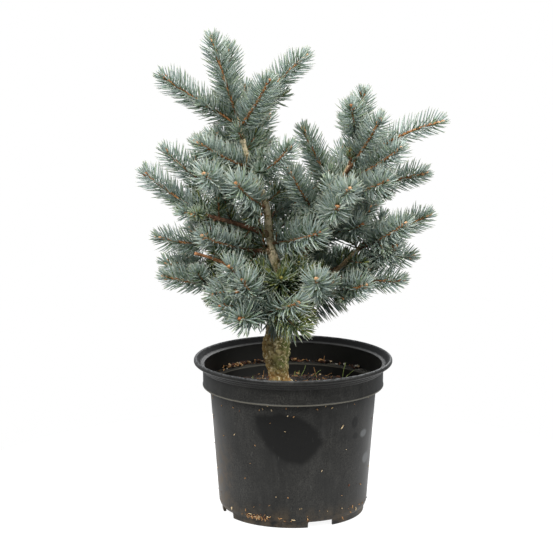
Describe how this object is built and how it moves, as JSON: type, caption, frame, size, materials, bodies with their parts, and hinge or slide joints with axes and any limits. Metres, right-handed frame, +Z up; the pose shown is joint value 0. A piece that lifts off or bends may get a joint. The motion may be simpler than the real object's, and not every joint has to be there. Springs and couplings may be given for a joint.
{
  "type": "potted blue spruce",
  "caption": "Dwarf blue spruce with a thick stem, an upright leader on each side of its fork and open sprays of bluish needles, growing in a round black nursery pot.",
  "frame": {"origin": "middle of the pot's flat underside", "axes": "+Z up along the plant, -Y towards the front from which the leaders stand left and right, +X to the right of someone looking at that front"},
  "size_m": [0.3643, 0.267, 0.567],
  "materials": {
    "pot": "injection-moulded black polypropylene, satin, dusty",
    "compost": "moist peat and bark compost, rough",
    "bark": "flaking grey-brown bark with algae",
    "dead_wood": "bare orange-brown dead twig",
    "foliage": "waxy blue-grey needles on orange-brown shoots"
  },
  "bodies": {
    "root": {"pot": "pot", "compost": "compost", "trunk": "bark", "right_leader": "bark", "right_bough": "bark", "right_low_bough": "bark", "front_bough": "bark", "left_low_bough": "bark", "back_low_bough": "bark", "left_middle_bough": "bark", "left_old_bough": "bark", "left_upper_bough": "bark", "cut_twig": "dead_wood", "leader_spray": "foliage", "top_left_spray": "foliage", "top_right_spray": "foliage", "top_front_spray": "foliage", "top_back_spray": "foliage", "upper_left_spray": "foliage", "upper_right_spray": "foliage", "upper_back_spray": "foliage", "left_crest_spray": "foliage", "left_crest_front_spray": "foliage", "left_outer_spray": "foliage", "front_upper_spray": "foliage", "left_tip_spray": "foliage", "left_front_spray": "foliage", "left_under_spray": "foliage", "left_low_tip_spray": "foliage", "left_low_viewer_spray": "foliage", "front_tall_spray": "foliage", "front_low_spray": "foliage", "front_right_spray": "foliage", "middle_front_spray": "foliage", "inner_old_spray": "foliage", "leader_left_spray": "foliage", "leader_inner_spray": "foliage", "right_crown_spray": "foliage", "right_crown_front_spray": "foliage", "right_far_spray": "foliage", "right_viewer_spray": "foliage", "right_arm_spray": "foliage", "leader_front_spray": "foliage", "leader_viewer_spray": "foliage", "leader_low_front_spray": "foliage", "right_inner_spray": "foliage", "right_tip_spray": "foliage", "right_tip_front_spray": "foliage", "right_mid_spray": "foliage", "right_under_spray": "foliage", "right_low_tip_spray": "foliage", "right_low_viewer_spray": "foliage", "back_low_spray": "foliage", "back_left_spray": "foliage", "back_right_spray": "foliage", "back_middle_spray": "foliage", "back_lower_left_spray": "foliage", "back_lower_right_spray": "foliage", "back_upper_left_spray": "foliage", "back_crown_spray": "foliage"}
  },
  "joints": []
}
